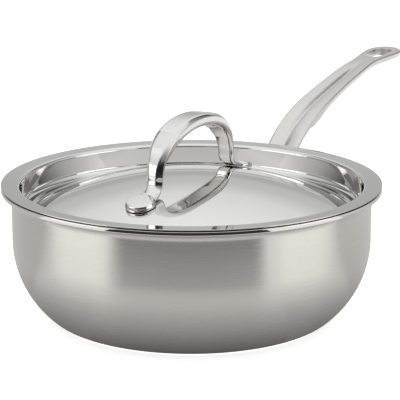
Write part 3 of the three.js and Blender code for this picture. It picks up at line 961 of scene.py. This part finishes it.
def around(azimuth_deg, distance, height):
    """A place round the pan: 0 is the camera's side, 90 the camera's right."""
    a = math.radians(azimuth_deg)
    sideways, nearer = right * (math.sin(a) * distance), level * (math.cos(a) * distance)
    return sideways - nearer + Vector((0, 0, height))


def softbox(name, azimuth, distance, height, width, tall, radiance):
    """A flat lamp round the pan that faces it."""
    data = bpy.data.lights.new(name, "AREA")
    data.shape = "RECTANGLE"
    data.size, data.size_y = width, tall
    data.energy = radiance * math.pi * width * tall
    lamp = bpy.data.objects.new(name, data)
    scene.collection.objects.link(lamp)
    lamp.location = around(azimuth, distance, height)
    away = lamp.location - Vector((0, 0, LAMP_AIM_HEIGHT))
    lamp.rotation_euler = away.to_track_quat("Z", "Y").to_euler()
    return lamp


def column_count(azimuths):
    """How many points a sheet has from one side to the other."""
    return max(2, int(abs(azimuths[1] - azimuths[0]) / SHEET_STEP_DEG) + 1)


def tent_sheet(name, azimuths, angles, shades):
    """A sheet of the light tent: part of a dome, from one side to the other and from a low to a high
    angle. Each row has a shade at each of its ends, or one for both."""
    columns = column_count(azimuths)
    verts, tones = [], []
    for angle, tone in zip(angles, shades):
        e = math.radians(angle)
        ends = tone if isinstance(tone, tuple) else (tone, tone)
        tones.extend(np.linspace(*ends, columns))
        for a in np.linspace(*azimuths, columns):
            verts.append(tuple(around(a, TENT_RADIUS * math.cos(e), TENT_RADIUS * math.sin(e))))
    sheet(name, verts, columns, tones)


def floor_sheet_with_painted_shadow(name, azimuths, radii, shades):
    """A sheet on the floor, with a shade for each of its rings; the dark rings near the pan are painted
    shadow.
    """
    columns = column_count(azimuths)
    verts = [tuple(around(a, r, SHEET_LIFT)) for r in radii for a in np.linspace(*azimuths, columns)]
    sheet(name, verts, columns, np.repeat(shades, columns))


def sheet(name, verts, columns, shades):
    """A glowing sheet over rows of points that only shows in the metal, with a shade at each point."""
    starts = [i for i in range(len(verts) - columns) if (i + 1) % columns]
    mesh = bpy.data.meshes.new(name)
    mesh.from_pydata(verts, [], [(i, i + 1, i + columns + 1, i + columns) for i in starts])
    tones = mesh.attributes.new("tone", "FLOAT", "POINT")
    tones.data.foreach_set("value", [float(v) for v in shades])
    obj = bpy.data.objects.new(name, mesh)
    scene.collection.objects.link(obj)
    material = bpy.data.materials.new(name)
    material.use_nodes = True
    tree = material.node_tree
    tree.nodes.clear()
    tone = add(tree, "ShaderNodeAttribute", attribute_name="tone")
    emission = add(tree, "ShaderNodeEmission")
    tree.links.new(tone.outputs["Fac"], emission.inputs["Strength"])
    tree.links.new(emission.outputs[0], add(tree, "ShaderNodeOutputMaterial").inputs["Surface"])
    mesh.materials.append(material)
    obj.visible_camera = obj.visible_diffuse = obj.visible_shadow = obj.visible_transmission = False


# The tent: bright low side walls, a dark front with a light floor before it, and a pale wall behind.
# Each sheet has its azimuths, the angles or distances of its rows, and the shades of its rows.
tent_sheet("tent_slot", (-42, 39), [0, 12], [0.02, 0.02])
tent_sheet("tent_front", (-20, 20), [12, 26, 36, 45, 60], [0.03, 0.05, 0.55, 0.85, 0.95])
for way, start, edge, gain in ((-1, 45, 86, 1.15), (1, 41, 85, 1.05)):
    side = "left" if way < 0 else "right"
    tent_sheet(f"tent_front_{side}", (20 * way, start * way), [12, 16, 20, 26, 36, 45, 60],
               [0.05, 0.08, 0.28, 0.32, (0.55, 0.6), (0.85, 0.95), (0.95, 1.0)])
    tent_sheet(f"tent_{side}", (start * way, edge * way), [0, 20], [1.1, 1.1])
    tent_sheet(f"tent_high_{side}", (start * way, edge * way), [20, 30, 48, 60],
               [(0.9 * gain, 0.7 * gain), (0.9 * gain, 0.7 * gain), (0.95 * gain, 1.05 * gain), 1.05])
    tent_sheet(f"tent_far_{side}", (edge * way, 150 * way), [0, 20], [(0.42, 0.7), (0.3, 0.2)])
    tent_sheet(f"tent_far_high_{side}", (edge * way, 118 * way), [20, 48, 54, 60],
               [(0.85, 0.6), (1.3, 0.75), (1.0, 0.95), (1.0, 1.0)])
    tent_sheet(f"tent_back_high_{side}", (118 * way, 150 * way), [20, 48, 54, 60],
               [(0.6, 0.1), (0.75, 0.04), (0.95, 0.95), (1.0, 1.0)])
tent_sheet("tent_back_low", (150, 210), [0, 6, 9], [0.8, 0.8, 0.75])
tent_sheet("tent_back", (150, 210), [9, 10.2, 11.2, 14, 17, 20, 26, 35, 46, 60],
           [0.78, 0.35, 0.68, 0.5, 0.52, 0.62, 0.68, 0.9, 1.0, 1.12])
tent_sheet("tent_roof", (-180, 180), [60, 89], [1.05, 1.05])
# Floor sheets, seen only in the metal: their dark rings near the pan are a painted shadow of the pan on
# the floor.
NEAR_TO_FAR = [0.09, 0.13, 0.2, 0.36, 0.44, 1.69]
floor_sheet_with_painted_shadow("floor_front", (-43, 39), [0.09, 0.13, 0.2, 0.3, 0.37, 1.69],
            [0.02, 0.43, 0.9, 0.9, 0.04, 0.03])
floor_sheet_with_painted_shadow("floor_left", (-86, -43), NEAR_TO_FAR, [0.1, 0.4, 0.85, 1.1, 1.1, 1.1])
floor_sheet_with_painted_shadow("floor_right", (39, 85), NEAR_TO_FAR, [0.1, 0.4, 0.85, 1.1, 1.1, 1.1])
floor_sheet_with_painted_shadow("floor_back_left", (-150, -86), NEAR_TO_FAR, [0.1, 0.4, 0.65, 0.65, 0.65, 0.65])
floor_sheet_with_painted_shadow("floor_back_right", (85, 150), [0.09, 0.13, 0.2, 0.46, 0.52, 1.69],
            [0.1, 0.4, 0.65, 0.65, 1.05, 1.05])
floor_sheet_with_painted_shadow("floor_back", (150, 210), NEAR_TO_FAR, [0.1, 0.4, 0.8, 1.0, 1.0, 1.0])

softbox("light_left", azimuth=-72, distance=1.3, height=0.27, width=0.9, tall=0.5, radiance=1.1)
softbox("light_right", azimuth=72, distance=1.3, height=0.27, width=0.9, tall=0.5, radiance=1.1)
top_light = softbox("light_top", azimuth=0, distance=0.01, height=1.5, width=1.3, tall=1.3, radiance=1.0)
top_light.visible_glossy = False
